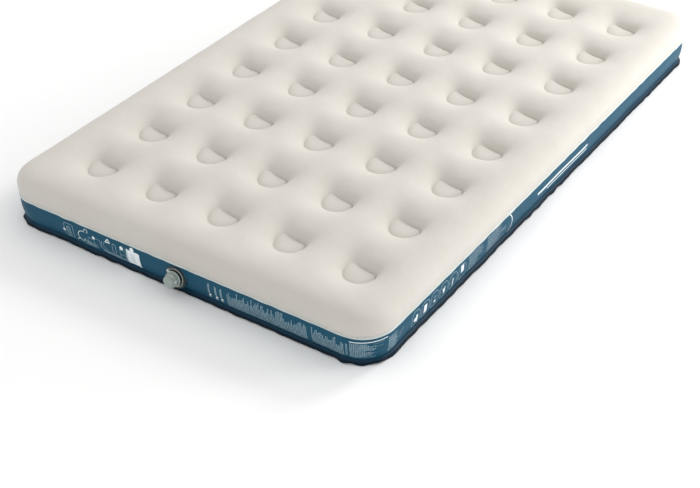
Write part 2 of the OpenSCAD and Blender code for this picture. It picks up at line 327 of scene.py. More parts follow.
def pad_edge(u, v):
    """Point itself inside the pad, or the closest point of its edge outside, and the distance
    to that edge, negative inside."""
    reach = np.hypot(u, v)
    scale = CORE_R / np.maximum(reach, 1e-9)
    qu, qv = u * scale, v * scale
    past = qv > CORE_V
    qu = np.where(past, np.clip(u, -CORE_HALF, CORE_HALF), qu)
    qv = np.where(past, CORE_V, qv)
    beyond = (reach > CORE_R) | (v > CORE_V)
    gap = np.maximum(np.hypot(u - qu, v - qv), 1e-9)
    away = np.where(beyond, gap, -np.minimum(CORE_R - reach, CORE_V - v)) - PAD_ROUND
    step = np.minimum(gap, PAD_ROUND) / gap
    edge_u = np.where(beyond, qu + (u - qu) * step, u)
    edge_v = np.where(beyond, qv + (v - qv) * step, v)
    return edge_u, edge_v, away


def pad_rays(du, dv):
    """Points of a pad's edge in the directions (du, dv) from its mesh centre."""
    low, high = np.zeros(len(du)), np.full(len(du), 2 * PAD_R)
    for _ in range(40):
        middle = (low + high) / 2
        inside = pad_edge(du * middle, PAD_MID + dv * middle)[2] < 0
        low, high = np.where(inside, middle, low), np.where(inside, high, middle)
    return du * low, PAD_MID + dv * low


class Dimple:
    """One welded pad: where it lies, how far it is turned, how deep it is."""

    def __init__(self, column, row, rng):
        self.cell = np.array([(column - 2) * PITCH_X, (row - 3.5) * PITCH_Y + GRID_Y])
        self.middle = self.cell + PAD_SHIFT + rng.uniform(-1, 1, 2) * 1.2 * MM
        if (column, row) == (4, 0):
            self.middle = self.middle + FRONT_CORNER_SHIFT
        self.angle = math.radians(PAD_TURN + rng.uniform(-2, 2))
        self.extra = rng.uniform(-0.9, 0.5) * MM
        self.lean = rng.uniform(-0.7, 0.3) * MM

    def local(self, xy):
        c, s = math.cos(self.angle), math.sin(self.angle)
        d = xy - self.middle
        return d[..., 0] * c + d[..., 1] * s, -d[..., 0] * s + d[..., 1] * c

    def world(self, u, v):
        c, s = math.cos(self.angle), math.sin(self.angle)
        return self.middle + np.stack([u * c - v * s, u * s + v * c], -1)


rng = np.random.default_rng(7)
DIMPLES = [Dimple(c, r, rng) for r in range(ROWS) for c in range(COLUMNS)]


def sink_of(dimple, xy, depth, reach):
    """How far one dimple pulls the panel down at the points xy.

    The pad's edge lies deepest. Outside it a steep shoulder and then a long wall climb to the
    panel; inside it the pad bulges up again. Both are strongest at the crease (far = 1) and
    fade at its left end, where the sheet is slack."""
    u, v = dimple.local(xy)
    near = np.hypot(u, v) < reach + 0.06
    out = np.zeros(len(xy))
    u, v = u[near], v[near]
    edge_u, edge_v, away = pad_edge(u, v)
    along = (edge_v + PAD_R) / (CREASE_V + PAD_R)
    far = smooth(along)
    slack = np.clip((0.010 - edge_u) / 0.044, 0, 1) ** 1.6 * smooth((edge_v + 0.027) / 0.049)
    tilt = dimple.extra + (1 * MM + dimple.lean) * np.clip(edge_u / PAD_R, -1, 1)
    edge = depth * (0.95 + 0.05 * along - 0.20 * slack) + tilt
    size = MM * depth / TOP_DEPTH
    shoulder = (5.6 + 11.4 * far) * (1 - 0.96 * slack) * size
    outside = np.clip(away, 0, None)
    wall = (edge - shoulder) * (1 - np.clip(outside / reach, 0, 1)) ** 2.3
    wall = wall + shoulder * np.exp(-outside / (0.0035 + 0.0060 * far))
    inside = np.clip(-away, 0, None)
    rise = 1 - np.exp(-inside / (0.013 - 0.0105 * far))
    dome = (6.8 - 1.3 * far) * (1 - slack) * rise * size
    out[near] = wall - dome
    return out


def sink(xy, depth=TOP_DEPTH, reach=TOP_REACH):
    return sum(sink_of(d, xy, depth, reach) for d in DIMPLES)


def cell_points(dimple, per_side, ring_steps, pad_steps):
    """Plan points of one cell: rings from inside the pad out to the edge of the cell."""
    half = np.array([PITCH_X, PITCH_Y]) / 2
    t = np.linspace(-1, 1, per_side + 1)[:-1]
    one = np.ones(per_side)
    sides = ((one, t), (-t, one), (-one, -t), (t, -one))
    square = np.concatenate([np.stack(side, -1) for side in sides])
    rim = dimple.cell + square * half
    qu, qv = dimple.local(rim)
    du, dv = qu, qv - PAD_MID
    size = np.hypot(du, dv)
    eu, ev = pad_rays(du / size, dv / size)
    rings = [dimple.world(np.array([0.0]), np.array([PAD_MID]))]
    for k in pad_steps:
        rings.append(dimple.world(eu * k, PAD_MID + (ev - PAD_MID) * k))
    edge = dimple.world(eu, ev)
    rings += [edge + (rim - edge) * k for k in ring_steps[:-1]]
    rings.append(rim)
    return np.concatenate(rings), 4 * per_side


def grid_keys(xy):
    """Whole numbers that are the same for points closer than about 10 micrometres."""
    return np.floor(xy * 1e5 + 0.37).astype(int)


def panel(per_side, ring_steps, pad_steps):
    """Plan points and faces of all cells, joined along the cells' edges."""
    points, faces, base = [], [], 0
    for dimple in DIMPLES:
        xy, around = cell_points(dimple, per_side, ring_steps, pad_steps)
        rings = 1 + len(pad_steps) + len(ring_steps) - 1
        faces += [(base, base + 1 + i, base + 1 + (i + 1) % around) for i in range(around)]
        faces += [tuple(base + 1 + k for k in f) for f in grid_faces(rings, around)]
        points.append(xy)
        base += len(xy)
    points = np.concatenate(points)
    _, first, where = np.unique(grid_keys(points), axis=0, return_index=True, return_inverse=True)
    where = where.reshape(-1)
    return points[first], [tuple(int(where[i]) for i in f) for f in faces]


def stretch(t, whole, target):
    """Length along the seam that belongs to length t along the edge of the panel."""
    start = whole - 0.18
    return t + (target - whole) * np.clip((t - start) / (whole - start), 0, None) ** 2


def panel_rim(per_side):
    """Points round the edge of all cells, with the matching arc lengths along the seam."""

    def edge(x, y):
        return np.stack(np.broadcast_arrays(x, y), -1)

    half_x = COLUMNS * PITCH_X / 2
    low_y, high_y = GRID_Y - ROWS * PITCH_Y / 2, GRID_Y + ROWS * PITCH_Y / 2
    xs = np.linspace(-half_x, half_x, COLUMNS * per_side + 1)
    up_y = np.linspace(low_y, high_y, ROWS * per_side + 1)[:-1]
    down_y = np.linspace(high_y, low_y, ROWS * per_side + 1)[:-1]
    sides = [edge(half_x, up_y), edge(xs[::-1][:-1], high_y), edge(-half_x, down_y), edge(xs[:-1], low_y)]

    def long_s(y):
        head, foot = stretch(y, high_y, HALF_LONG), stretch(-y, -low_y, HALF_LONG)
        return np.where(y < 0, -foot, head)

    foot_s = np.sign(xs) * stretch(np.abs(xs), half_x, HALF_FOOT)
    quarter = HALF_FOOT + HALF_LONG
    arcs = [
        quarter + long_s(up_y),
        2 * quarter - foot_s[::-1][:-1],
        3 * quarter - long_s(down_y),
        4 * quarter + foot_s[:-1],
    ]
    return np.concatenate(sides), np.concatenate(arcs)


def with_margin(co, faces, per_side, rows):
    """Adds rows of points round a panel; each row is a function from arc length to points."""
    rim, arc = panel_rim(per_side)
    keys = {tuple(k): i for i, k in enumerate(grid_keys(co[:, :2]))}
    first = [keys[tuple(k)] for k in grid_keys(rim)]
    count, around = len(co), len(rim)
    rings = [row(arc, co[first]) for row in rows]
    faces = list(faces)
    before = first
    for r in range(len(rings)):
        now = [count + r * around + i for i in range(around)]
        for i in range(around):
            j = (i + 1) % around
            faces.append((before[i], now[i], now[j], before[j]))
        before = now
    return np.vstack([co, *rings]), faces


# ---------------------------------------------------------------- top skin


def roll_profile():
    """The top sheet's roll, from the crown out and down to the seam: outwards and up."""
    power = 2.2
    upper = np.radians([0, 12, 22, 32, 42, 51, 60, 68, 76, 83, 90])
    points = [
        (
            -ROLL_IN + (ROLL_IN + ROLL_OUT) * math.sin(a) ** (2 / power),
            ROLL_Z + (CROWN_Z - ROLL_Z) * max(math.cos(a), 0) ** (2 / power),
        )
        for a in upper
    ]
    low_r = ((ROLL_Z - SEAM_Z) ** 2 + ROLL_OUT**2) / (2 * ROLL_OUT)
    swing = math.asin((ROLL_Z - SEAM_Z) / low_r)
    for k in (0.2, 0.4, 0.6, 0.8, 1.0):
        a = -k * swing
        points.append((ROLL_OUT - low_r + low_r * math.cos(a), ROLL_Z + low_r * math.sin(a)))
    return points


def relief(xy):
    """How the top sheet departs from a plain crown: swell, dimples and small unevenness."""
    return CROWN_EXTRA - sink(xy) + 0.5 * MM * wave_flat(xy[:, 0], xy[:, 1], 0.07, 0.3, 3)


def crown(xy):
    """Height of the top surface inside its roll."""
    return CROWN_Z + relief(xy)


def roll_row(d, z):
    def row(arc, rim):
        point, out, corner = seam_at(arc)
        share = (z - SEAM_Z) / (CROWN_Z - SEAM_Z)
        pucker = wave_round(arc, 0.028, 0.06, 5) * math.exp(-(z - SEAM_Z) / 0.012)
        sway = wave_round(arc, 0.18, 0.6, 6)
        push = d + 0.35 * MM * pucker + 0.8 * MM * sway * math.sin(math.pi * min(share, 1))
        xy = point + out * np.asarray(push)[:, None]
        weight = float(smooth((z - ROLL_Z + 0.004) / (CROWN_Z - ROLL_Z)))
        return np.column_stack([xy, z + weight * relief(xy)])

    return row


def build_top():
    per_side = 16
    ring_steps = np.array([1, 2.4, 4.6, 8, 13, 20, 29, 41, 56, 75]) / 75
    pad_steps = [0.4, 0.68, 0.86, 0.96, 1.0]
    xy, faces = panel(per_side, ring_steps, pad_steps)
    co = np.column_stack([xy, crown(xy)])
    profile = roll_profile()
    start = roll_row(*profile[0])

    def halfway(arc, rim):
        xy = (start(arc, rim)[:, :2] + rim[:, :2]) / 2
        return np.column_stack([xy, crown(xy)])

    rows = [halfway] + [roll_row(d, z) for d, z in profile]
    co, faces = with_margin(co, faces, per_side, rows)
    co, faces = shelled(co, faces, SKIN)
    piece = make_piece("top_skin", co, faces, MATERIALS["flock"])
    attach(piece, "mattress")
    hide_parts("top_sheet")
    return piece


# ---------------------------------------------------------------- band, seams, underside

BAND_LOW = math.atan2(BASE_Z - BAND_C[1], BASE_D - BAND_C[0])
BAND_HIGH = math.atan2(SEAM_Z - BAND_C[1], -BAND_C[0])
BAND_H = BAND_R * (BAND_HIGH - BAND_LOW)


def base_lean(s):
    """Uneven run-in of the bottom seam."""
    return 0.9 * MM * wave_round(s, 0.12, 0.5, 21)


def flange_at(s, k):
    """Line of the welded flange, outwards and up: k is 0 at the bottom seam, 1 at its edge."""
    corner = seam_at(s)[2]
    ruffle = (0.5 + 1.9 * corner) * wave_round(s, 0.042, 0.1, 41)
    run = FLANGE_RUN + 1.2 * MM * ruffle
    drop = FLANGE_DROP + (0.9 + 1.8 * corner) * MM * wave_round(s, 0.045, 0.12, 43)
    d = BASE_D - base_lean(s) + run * k
    z = BASE_Z - np.clip(drop, 7 * MM, 11.6 * MM) * k**0.9
    return d, z


def band_at(s, h, proud=0.0):
    """Point of the band at arc length s and height h above the bottom seam along its arc."""
    s, h = np.broadcast_arrays(np.asarray(s, float), np.asarray(h, float))
    point, out, corner = seam_at(s)
    share = np.clip(h / BAND_H, 0, 1)
    angle = BAND_LOW + share * (BAND_HIGH - BAND_LOW)
    middle = np.sin(np.pi * share)
    dent = -1.1 * MM * middle * (1 + wave_round(s, 0.16, 0.5, 11)) * 0.6
    folds = wave_round(s, 0.035, 0.08, 12) * np.exp(-share / 0.22)
    tucks = wave_round(s, 0.02, 0.04, 13) * np.exp(-(1 - share) / 0.12)
    ripple = (0.5 + 0.7 * corner) * MM * folds * smooth(share * 8)
    ripple = ripple + 0.2 * MM * tucks * smooth((1 - share) * 8)
    lean = base_lean(s) * (1 - share) ** 1.5
    reach = BAND_R + dent + ripple + proud
    d = BAND_C[0] + reach * np.cos(angle) - lean
    z = BAND_C[1] + reach * np.sin(angle)
    return np.concatenate([point + out * d[..., None], z[..., None]], -1)


def swept(profile_at, around, close=True):
    """Sweeps points round the mattress. profile_at gives, for all arc lengths, rows of points."""
    s = np.linspace(0, ROUND, around, endpoint=False)
    rows = profile_at(s)
    co = np.concatenate(rows)
    faces = grid_faces(len(rows) + close, around)
    return co, [tuple(i % len(co) for i in f) for f in faces]


def outward(s, d, z):
    point, out, _ = seam_at(s)
    d, z = np.broadcast_to(d, s.shape), np.broadcast_to(z, s.shape)
    return np.column_stack([point + out * d[:, None], z])


def build_band():
    """Printed band from the top seam down to the bottom seam and out over the flange."""

    def over_flange(s, k):
        d, z = flange_at(s, k)
        return outward(s, d + 0.4 * MM * min(k * 4, 1), z + 0.7 * MM * min(k * 4, 1))

    def rows(s):
        down = [band_at(s, BAND_H * k) for k in np.linspace(1, 0, 15)]
        return down + [over_flange(s, k) for k in BAND_ON_FLANGE]

    co, faces = swept(rows, 900, close=False)
    from_axis = np.cross(co - np.array(VALVE.translation), np.array(AXIS))
    clear = np.linalg.norm(from_axis, axis=1) > VALVE_HOLE
    clear |= co[:, 1] > 0
    faces = [f for f in faces if all(clear[i] for i in f)]
    co, faces = shelled(co, faces, SKIN)
    piece = make_piece("band_skin", co, faces, MATERIALS["band"])
    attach(piece, "mattress")
    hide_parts("side_band")
    return piece


def build_lip():
    """Welded lip along the top seam, a little wavy, with a soft outer edge."""
    # Does the point follow the wavy outer edge, then mm outwards from there or the seam, and up
    section = (
        (0, -1.5, -0.8), (1, -0.5, -1.3), (1, 0, -0.8), (1, 0, 0.1),
        (1, -0.6, 0.7), (0, 2.4, 1.5), (0, 0.6, 3.2), (0, -1.0, 3.4),
    )

    def rows(s):
        wave = 0.4 * MM * wave_round(s, 0.05, 0.2, 31)
        run = 4.7 * MM + 0.4 * MM * wave_round(s, 0.04, 0.15, 32)
        return [outward(s, k * run + d * MM, SEAM_Z + z * MM - k * wave) for k, d, z in section]

    co, faces = swept(rows, 900)
    piece = make_piece("top_seam_lip", co, faces, MATERIALS["weld"])
    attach(piece, "mattress")
    return piece


def build_flange():
    """Welded flange along the bottom seam; it droops to the floor and ruffles."""

    def rows(s):
        under = [(k, -0.5 * MM, -0.6 * MM) for k in (0.0, 0.3, 0.6, 0.9)]
        tip = [(1.0, 0.0, -0.4 * MM), (1.0, 0.4 * MM, 0.2 * MM)]
        over = [(k, 0.2 * MM, 0.3 * MM) for k in (0.95, 0.7, 0.42, 0.2, 0.05)]
        out = []
        for k, sideways, up in under + tip + over:
            d, z = flange_at(s, k)
            out.append(outward(s, d + sideways, z + up))
        return out

    co, faces = swept(rows, 1300)
    piece = make_piece("bottom_seam_flange", co, faces, MATERIALS["dark"])
    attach(piece, "mattress")
    return piece


def build_bottom():
    """Underside: floor panel with shallow dimples, turned up at its edge to the bottom seam."""
    per_side = 12
    ring_steps = np.array([2, 6, 13, 24, 42, 75]) / 75
    xy, faces = panel(per_side, ring_steps, [0.5, 0.85, 1.0])

    def floor_z(xy):
        return FLOOR_GAP + np.clip(sink(xy, FLOOR_DEPTH, FLOOR_REACH), 0, None)

    co = np.column_stack([xy, floor_z(xy)])
    turn = BASE_Z

    def turn_start(arc):
        return BASE_D - base_lean(arc) - turn

    def inner(k):
        def row(arc, rim):
            target = outward(arc, turn_start(arc) - 0.02, 0.0)[:, :2]
            xy = rim[:, :2] + (target - rim[:, :2]) * k
            return np.column_stack([xy, floor_z(xy)])

        return row

    def edge(k):
        def row(arc, rim):
            a = k * math.pi / 2
            d = turn_start(arc) + turn * math.sin(a)
            return outward(arc, d, FLOOR_GAP + (turn - FLOOR_GAP) * (1 - math.cos(a)))

        return row

    rows = [inner(0.5), inner(1.0)] + [edge(k) for k in (0, 0.25, 0.5, 0.75, 1.0)]
    co, faces = with_margin(co, faces, per_side, rows)
    faces = [tuple(reversed(f)) for f in faces]
    co, faces = shelled(co, faces, SKIN)
    piece = make_piece("bottom_skin", co, faces, MATERIALS["dark"])
    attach(piece, "mattress")
    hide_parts("bottom_sheet")
    return piece


# ---------------------------------------------------------------- print on the band


def new_tree(name, **sockets):
    """Geometry Nodes tree with these named inputs, and its input sockets."""
    tree = bpy.data.node_groups.new(name, "GeometryNodeTree")
    for key, kind in sockets.items():
        key = key.replace("_", " ")
        tree.interface.new_socket(key, in_out="INPUT", socket_type="NodeSocket" + kind)
    tree.interface.new_socket("Geometry", in_out="OUTPUT", socket_type="NodeSocketGeometry")
    return tree, add_node(tree, "NodeGroupInput").outputs


def end_tree(tree, points, instance, material, **links):
    """Puts the instance on the points, makes it real and gives it its material."""
    links |= {"Points": points.outputs[0], "Instance": instance.outputs[0]}
    many = add_node(tree, "GeometryNodeInstanceOnPoints", links)
    real = add_node(tree, "GeometryNodeRealizeInstances", {0: many.outputs[0]})
    done = add_node(tree, "GeometryNodeSetMaterial", {0: real.outputs[0], "Material": material})
    add_node(tree, "NodeGroupOutput", {0: done.outputs[0]})
    return tree


def text_block_tree():
    """Rows of short dashes with a ragged end, as a stand-in for small print."""
    kinds = dict.fromkeys(("Lines", "Words", "Seed"), "Int")
    kinds |= dict.fromkeys(("Width", "Height", "Line_height", "Ragged"), "Float")
    tree, start = new_tree("small_print", **kinds, Ink="Material")

    def worked(operation, *terms):
        """Result of a math node over sockets and plain numbers."""
        node = add_node(tree, "ShaderNodeMath", operation=operation)
        for slot, term in zip(node.inputs, terms):
            if isinstance(term, float):
                slot.default_value = term
            else:
                tree.links.new(term, slot)
        return node.outputs[0]

    seed, words, height = start["Seed"], start["Words"], start["Height"]
    sizes = {"Size X": start["Width"], "Size Y": height}
    counts = {"Vertices X": start["Lines"], "Vertices Y": words}
    places = add_node(tree, "GeometryNodeMeshGrid", sizes | counts)
    index = add_node(tree, "GeometryNodeInputIndex").outputs[0]
    line = worked("FLOOR", worked("DIVIDE", index, words))
    end = add_node(tree, "FunctionNodeRandomValue", {"ID": line, "Seed": seed}, data_type="FLOAT")
    cut = worked("MULTIPLY", end.outputs[1], start["Ragged"])
    top = worked("MULTIPLY", worked("SUBTRACT", 0.5, cut), height)
    spot = add_node(tree, "GeometryNodeInputPosition").outputs[0]
    up = add_node(tree, "ShaderNodeSeparateXYZ", {0: spot}).outputs["Y"]
    gone = add_node(tree, "FunctionNodeCompare", {0: up, 1: top}, data_type="FLOAT").outputs[0]
    kept = add_node(tree, "GeometryNodeDeleteGeometry", {0: places.outputs[0], "Selection": gone})
    kept.domain = "POINT"
    dash_size = {"Size X": start["Line height"], "Size Y": worked("DIVIDE", height, words)}
    dash = add_node(tree, "GeometryNodeMeshGrid", dash_size, Vertices_X=2, Vertices_Y=3)
    size = add_node(tree, "FunctionNodeRandomValue", {"Seed": seed}, data_type="FLOAT_VECTOR")
    size.inputs[0].default_value = (0.8, 0.55, 1)
    size.inputs[1].default_value = (1.1, 0.98, 1)
    return end_tree(tree, kept, dash, start["Ink"], Scale=size.outputs[0])


def grown(tree, values):
    """Mesh that a Geometry Nodes tree makes with these named inputs."""
    holder = add_object("holder", bpy.data.meshes.new("holder"))
    modifier = holder.modifiers.new("grow", "NODES")
    modifier.node_group = tree
    for item in tree.interface.items_tree:
        if item.in_out == "INPUT" and item.name in values:
            modifier[item.identifier] = values[item.name]
    bpy.context.view_layer.update()
    graph = bpy.context.evaluated_depsgraph_get()
    mesh = bpy.data.meshes.new_from_object(holder.evaluated_get(graph))
    co = np.array([v.co for v in mesh.vertices], float).reshape(-1, 3)
    faces = [tuple(p.vertices) for p in mesh.polygons]
    holder.modifiers.clear()
    bpy.data.objects.remove(holder)
    return co, faces


WHITE, PALE, GREY = "white_ink", "pale_ink", "grey_ink"
PROUD = {WHITE: 0.24, PALE: 0.32, GREY: 0.16}  # mm above the band


class Print:
    """Flat artwork in millimetres along the band (s) and up it (h), grouped by ink."""

    def __init__(self):
        self.layers = {}

    def put(self, ink, points, faces):
        co, known, count = self.layers.setdefault(ink, ([], [], [0]))
        co.append(np.asarray(points, float))
        known.extend(tuple(i + count[0] for i in f) for f in faces)
        count[0] += len(points)

    def block(self, ink, s0, s1, h0, h1):
        across = max(2, int(abs(s1 - s0) / 6) + 2)
        up = max(2, int(abs(h1 - h0) / 6) + 2)
        s, h = np.meshgrid(np.linspace(s0, s1, across), np.linspace(h0, h1, up))
        points = np.column_stack([s.ravel(), h.ravel()])
        starts = [r * across + c for r in range(up - 1) for c in range(across - 1)]
        self.put(ink, points, [(i, i + 1, i + across + 1, i + across) for i in starts])

    def stroke(self, ink, line, width, closed=False):
        line = np.asarray(line, float)
        if closed:
            line = np.vstack([line, line[:1]])
        fine = [line[0]]
        for a, b in zip(line[:-1], line[1:]):
            steps = max(1, int(np.hypot(*(b - a)) / 6) + 1)
            fine += [a + (b - a) * (k + 1) / steps for k in range(steps)]
        fine = np.array(fine)
        if closed:
            along = np.roll(fine[:-1], -1, 0) - np.roll(fine[:-1], 1, 0)
            along = np.vstack([along, along[:1]])
        else:
            along = np.gradient(fine, axis=0)
        along = along / np.maximum(np.linalg.norm(along, axis=1), 1e-9)[:, None]
        side = np.stack([along[:, 1], -along[:, 0]], -1) * width / 2
        n = len(fine)
        points = np.vstack([fine + side, fine - side])
        self.put(ink, points, [(i, i + 1, n + i + 1, n + i) for i in range(n - 1)])

    def disc(self, ink, s, h, r, turns=20):
        a = np.linspace(0, 2 * np.pi, turns, endpoint=False)
        points = np.vstack([[s, h], np.column_stack([s + r * np.cos(a), h + r * np.sin(a)])])
        self.put(ink, points, [(0, 1 + i, 1 + (i + 1) % turns) for i in range(turns)])

    def arc(self, ink, s, h, r, start, end, width, flat=1.0):
        a = np.radians(np.linspace(start, end, max(6, int(abs(end - start) / 12))))
        self.stroke(ink, np.column_stack([s + r * np.cos(a), h + flat * r * np.sin(a)]), width)

    def frame(self, ink, s0, s1, h0, h1, r, width):
        left, right, low, high = s0 + r, s1 - r, h0 + r, h1 - r
        line = []
        for s, h, begin in ((right, low, -90), (right, high, 0), (left, high, 90), (left, low, 180)):
            for a in np.radians(np.linspace(begin, begin + 90, 5)):
                line.append((s + r * math.cos(a), h + r * math.sin(a)))
        self.stroke(ink, line, width, closed=True)

    def small_print(self, ink, s0, s1, h0, h1, lines, words, upright, ragged, seed, share=0.55):
        """Greeked text. Upright blocks have lines that run up the band."""
        wide, tall = (s1 - s0, h1 - h0) if upright else (h1 - h0, s1 - s0)
        pitch = wide / max(lines - 1, 1)
        values = {"Lines": lines, "Words": words, "Width": wide, "Height": tall * (1 - 1 / words)}
        values |= {"Line height": pitch * share, "Ragged": ragged, "Seed": seed, "Ink": MATERIALS[ink]}
        co, faces = grown(TEXT_TREE, values)
        if upright:
            points = np.column_stack([co[:, 0] + (s0 + s1) / 2, co[:, 1] + (h0 + h1) / 2])
        else:
            points = np.column_stack([co[:, 1] + (s0 + s1) / 2, (h0 + h1) / 2 - co[:, 0]])
        self.put(ink, points, faces)

    def build(self, name):
        pieces = []
        for ink, (co, faces, _) in self.layers.items():
            flat = np.concatenate(co)
            solid = band_at(flat[:, 0] * MM, flat[:, 1] * MM, PROUD[ink] * MM)
            a, b, c = (flat[[f[k] for f in faces]] for k in (0, 1, 2))
            turn = (b - a)[:, 0] * (c - a)[:, 1] - (b - a)[:, 1] * (c - a)[:, 0]
            faces = [f if t > 0 else tuple(reversed(f)) for f, t in zip(faces, turn)]
            solid, faces = shelled(solid, faces, 0.1 * MM)
            piece = make_piece(f"{name}_{ink}", solid, faces, MATERIALS[ink], flat=True)
            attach(piece, "mattress")
            pieces.append(piece)
        return pieces


TEXT_TREE = text_block_tree()
FACE_RIGHT = (HALF_FOOT + HALF_LONG) / MM  # arc length, in mm, of y = 0 on the +X side


def pictograms(art):
    """Generic drawings left of the valve: frames, arcs and number discs without numbers."""
    art.frame(PALE, -390, -358, 14, 58, 5, 1.4)
    art.frame(PALE, -380, -368, 16, 50, 5, 1.6)
    art.frame(PALE, -376.5, -371.5, 20, 46, 2.4, 1.2)
    art.disc(WHITE, -391, 33, 4.6)
    art.arc(WHITE, -323, 36, 17, 70, 250, 1.8)
    art.arc(WHITE, -312, 57, 6, -60, 200, 1.6)
    art.stroke(WHITE, [(-348, 16), (-336, 25), (-326, 18), (-316, 30)], 1.8)
    art.frame(PALE, -322, -298, 16, 26, 4, 1.2)
    art.frame(PALE, -306, -284, 13, 40, 4, 1.2)
    art.small_print(PALE, -318, -262, 12, 24, 4, 9, False, 0.2, 3)
    art.disc(WHITE, -285, 46, 4.8)
    art.stroke(PALE, [(-279, 46), (-263, 46), (-263, 20)], 1.4)
    art.arc(PALE, -238, 34, 21, 140, 265, 1.6)
    art.arc(PALE, -236, 38, 14, 120, 260, 1.4)
    art.stroke(WHITE, [(-242, 50), (-226, 52), (-234, 62), (-242, 50)], 3.2)
    art.frame(PALE, -218, -206, 26, 54, 3, 1.5)
    art.block(GREY, -256, -196, 12, 19)
    art.block(GREY, -246, -160, 8, 13)
    art.disc(WHITE, -186, 52, 6.0)
    art.frame(PALE, -192, -172, 16, 46, 4, 1.4)
    art.stroke(PALE, [(-178, 52), (-166, 52), (-164, 12)], 1.4)
    art.arc(PALE, -182, 22, 9, 20, 160, 1.4)


def care_label(art):
    """Solid white label with a round tab, left of the valve, with faint greeked lines."""
    art.block(WHITE, -165, -129, 10, 56)
    art.block(WHITE, -169, -165, 12, 58)
    art.block(WHITE, -129, -125, 7, 54)
    art.disc(WHITE, -150, 60, 7)
    art.small_print(PALE, -156, -136, 20, 46, 6, 5, False, 0.3, 6, 0.34)


def build_print():
    art = Print()
    pictograms(art)
    care_label(art)
    for s, seed in ((103, 1), (125, 2), (142, 4)):
        art.small_print(PALE, s - 1.6, s + 1.6, 26, 60, 2, 12, True, 0.25, seed, 0.9)
        art.disc(WHITE, s + 2, 20, 3.6)
        art.stroke(WHITE, [(s - 3, 14), (s + 4, 12)], 2.2)
    for s0, s1, lines, seed, top in (
        (163, 229, 16, 11, 60),
        (235, 291, 14, 12, 60),
        (297, 348, 12, 13, 60),
        (353, 404, 12, 14, 62),
        (422, 513, 21, 15, 56),
    ):
        art.small_print(PALE, s0, s1, 7, top + 7, lines, 16, True, 0.46, seed, 0.62)
    art.stroke(WHITE, [(530, 61), (628, 63)], 2.2)
    art.small_print(PALE, 521, 524, 12, 56, 2, 14, True, 0.1, 20, 0.6)
    art.small_print(PALE, 530, 600, 12, 56, 13, 16, False, 0.45, 21, 0.62)
    art.stroke(GREY, [(590, 55), (618, 57)], 1.2)
    art.stroke(GREY, [(596, 46), (616, 47)], 1.2)
    art.small_print(PALE, 630, 676, 12, 58, 13, 12, False, 0.5, 22, 0.62)
    art.stroke(PALE, [(672, 44), (694, 50)], 1.2)
    art.stroke(PALE, [(668, 34), (688, 38)], 1.2)
    right_side(art)
    return art.build("print")


def right_side(art):
    """Six framed signs, two greeked blocks, a curved divider and plain stripes."""
    first, step = FACE_RIGHT - 778, 45.5
    for i in range(6):
        s = first + 18 + i * step
        art.frame(PALE, s - 19, s + 19, 12, 60, 15, 1.5)
        art.stroke(PALE, [(s - 8, 14), (s + 12, 18)], 1.6)
    art.disc(WHITE, first + 14, 34, 6)
    art.block(WHITE, first + 18, first + 26, 22, 46)
    art.block(WHITE, first + 56, first + 70, 24, 50)
    art.disc(WHITE, first + 109, 30, 4.5)
    art.stroke(PALE, [(first + 104, 44), (first + 116, 44)], 2.5)
    art.block(WHITE, first + 150, first + 158, 26, 40)
    art.stroke(WHITE, [(first + 146, 40), (first + 160, 44)], 3)
    art.stroke(WHITE, [(first + 196, 22), (first + 198, 46)], 4)
    art.block(WHITE, first + 238, first + 252, 36, 58)
    art.small_print(GREY, FACE_RIGHT - 500, FACE_RIGHT - 420, 10, 64, 16, 14, False, 0.6, 31, 0.66)
    art.small_print(GREY, FACE_RIGHT - 404, FACE_RIGHT - 296, 10, 64, 16, 18, False, 0.5, 32, 0.66)
    art.arc(WHITE, FACE_RIGHT - 306, 37, 40, -50, 50, 3.2)
    art.stroke(WHITE, [(FACE_RIGHT - 120, 42), (FACE_RIGHT + 190, 42)], 7)
    art.stroke(WHITE, [(FACE_RIGHT - 60, 28), (FACE_RIGHT + 190, 28)], 4)


# ---------------------------------------------------------------- valve


def placed(co):
    m = np.array(VALVE)
    return np.asarray(co) @ m[:3, :3].T + m[:3, 3]


def rounded(profile, radius, steps=3):
    """Rounds every corner of a closed (r, w) outline in mm."""
    out = []
    count = len(profile)
    for i, p in enumerate(profile):
        p = np.array(p, float)
        a, b = (np.array(profile[(i + k) % count], float) for k in (-1, 1))
        la, lb = np.linalg.norm(a - p), np.linalg.norm(b - p)
        cut = min(radius, 0.45 * la, 0.45 * lb)
        start, end = p + (a - p) / la * cut, p + (b - p) / lb * cut
        for t in np.linspace(0, 1, steps):
            out.append((1 - t) ** 2 * start + 2 * t * (1 - t) * p + t * t * end)
    return np.array(out)


def turned(profile, radius=0.4, segments=96):
    """Ring or body turned about the valve's axis, from a closed outline (r, w) in mm."""
    line = rounded(profile, radius)
    a = np.linspace(0, 2 * np.pi, segments, endpoint=False)
    n = len(line)
    r, w = line[:, :1], np.repeat(line[:, 1:], segments, 1)
    co = np.stack([r * np.cos(a), r * np.sin(a), w], -1).reshape(-1, 3)
    area = np.sum(line[:, 0] * np.roll(line[:, 1], -1) - np.roll(line[:, 0], -1) * line[:, 1])
    faces = []
    for i in range(n):
        j = (i + 1) % n
        for k in range(segments):
            m = (k + 1) % segments
            face = (i * segments + k, i * segments + m, j * segments + m, j * segments + k)
            faces.append(face if area > 0 else tuple(reversed(face)))
    return placed(co * MM), faces


def box_ring(inner, outer, low, high):
    return [(inner, low), (outer, low), (outer, high), (inner, high)]


